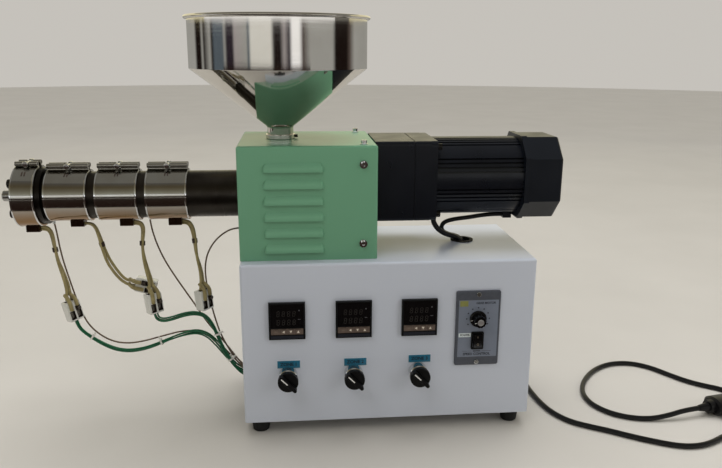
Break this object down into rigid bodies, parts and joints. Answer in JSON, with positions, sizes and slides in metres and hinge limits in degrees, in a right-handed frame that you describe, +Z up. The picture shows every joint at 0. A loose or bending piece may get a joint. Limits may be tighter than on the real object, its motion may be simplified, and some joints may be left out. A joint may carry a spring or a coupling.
{
  "type": "filament extruder",
  "caption": "Bench-top screw extruder for plastic filament: cabinet with controls, covered feed housing, hopper above, heated barrel at the left and gear motor at the right.",
  "frame": {"origin": "on the table under the feet, at the middle of the machine's box without its loose leads and cord", "axes": "+X along the barrel towards the motor, +Y from the control panel to the back, +Z up"},
  "size_m": [1.0258, 0.3461, 0.5328],
  "materials": {
    "white_paint": "semi-gloss powder coat",
    "green_paint": "semi-gloss powder coat",
    "polished_steel": "polished stainless",
    "band_steel": "bright rolled stainless",
    "black_steel": "blackened steel",
    "bright_steel": "zinc plated",
    "motor_black": "satin black",
    "black_plastic": "moulded, matt",
    "gloss_black": "moulded, gloss",
    "panel_grey": "anodised",
    "rubber": "matt",
    "glazed": "glazed ceramic",
    "glass_sleeve": "woven glass sleeve",
    "green_wire": "insulated wire",
    "brown_wire": "thin sleeved wire",
    "machined": "machined"
  },
  "bodies": {
    "machine": {"band_screws": "bright_steel", "barrel": "black_steel", "cabinet_back_panel": "white_paint", "cabinet_base": "white_paint", "cabinet_housing": "white_paint", "cable_grommet": "rubber", "ceramic_blocks": "glazed", "control_wires_long": "green_wire", "control_wires_short": "green_wire", "cord_gland": "black_plastic", "cover_screws": "bright_steel", "die_bolts": "black_steel", "die_head": "black_steel", "fan_cover": "black_plastic", "fan_lead": "rubber", "feed_housing": "machined", "foot_back_left": "rubber", "foot_back_right": "rubber", "foot_front_left": "rubber", "foot_front_right": "rubber", "gearbox": "motor_black", "green_cover": "green_paint", "heater_band_1": "band_steel", "heater_band_2": "band_steel", "heater_band_3": "band_steel", "heater_band_4": "band_steel", "heater_lead_1": "glass_sleeve", "heater_lead_2": "glass_sleeve", "heater_lead_3": "glass_sleeve", "heater_lead_4": "glass_sleeve", "heater_terminals": "band_steel", "hopper": "polished_steel", "lead_grommet": "rubber", "mains_cord": "rubber", "mains_plug": "black_plastic", "motor_body": "motor_black", "motor_bolts": "black_steel", "motor_flange": "motor_black", "motor_lead": "rubber", "nozzle": "bright_steel", "rocker_frame": "black_plastic", "selector_switch_1": "polished_steel", "selector_switch_2": "polished_steel", "selector_switch_3": "polished_steel", "speed_controller": "panel_grey", "speed_controller_screws": "bright_steel", "temperature_controller_1": "gloss_black", "temperature_controller_2": "gloss_black", "temperature_controller_3": "gloss_black", "thermocouple_probes": "bright_steel", "thermocouple_wire_1": "brown_wire", "thermocouple_wire_2": "brown_wire", "thermocouple_wire_3": "brown_wire"},
    "selector_knob_1": {"selector_knob_1": "black_plastic"},
    "selector_knob_2": {"selector_knob_2": "black_plastic"},
    "selector_knob_3": {"selector_knob_3": "black_plastic"},
    "speed_knob": {"speed_knob": "gloss_black"},
    "power_rocker": {"power_rocker": "gloss_black"}
  },
  "joints": [
    {"name": "selector_1_turn", "type": "hinge", "parent": "machine", "child": "selector_knob_1", "pos_m": [0.0009, -0.106, 0.0846], "axis": [0, 1, 0], "range_deg": [0, 90]},
    {"name": "selector_2_turn", "type": "hinge", "parent": "machine", "child": "selector_knob_2", "pos_m": [0.0854, -0.106, 0.0846], "axis": [0, 1, 0], "range_deg": [0, 90]},
    {"name": "selector_3_turn", "type": "hinge", "parent": "machine", "child": "selector_knob_3", "pos_m": [0.1699, -0.106, 0.0846], "axis": [0, 1, 0], "range_deg": [0, 90]},
    {"name": "speed_knob_turn", "type": "hinge", "parent": "machine", "child": "speed_knob", "pos_m": [0.2464, -0.0955, 0.1562], "axis": [0, 1, 0], "range_deg": [0, 270]},
    {"name": "power_rocker_tilt", "type": "hinge", "parent": "machine", "child": "power_rocker", "pos_m": [0.2464, -0.0955, 0.1265], "axis": [1, 0, 0], "range_deg": [0, 16]}
  ]
}
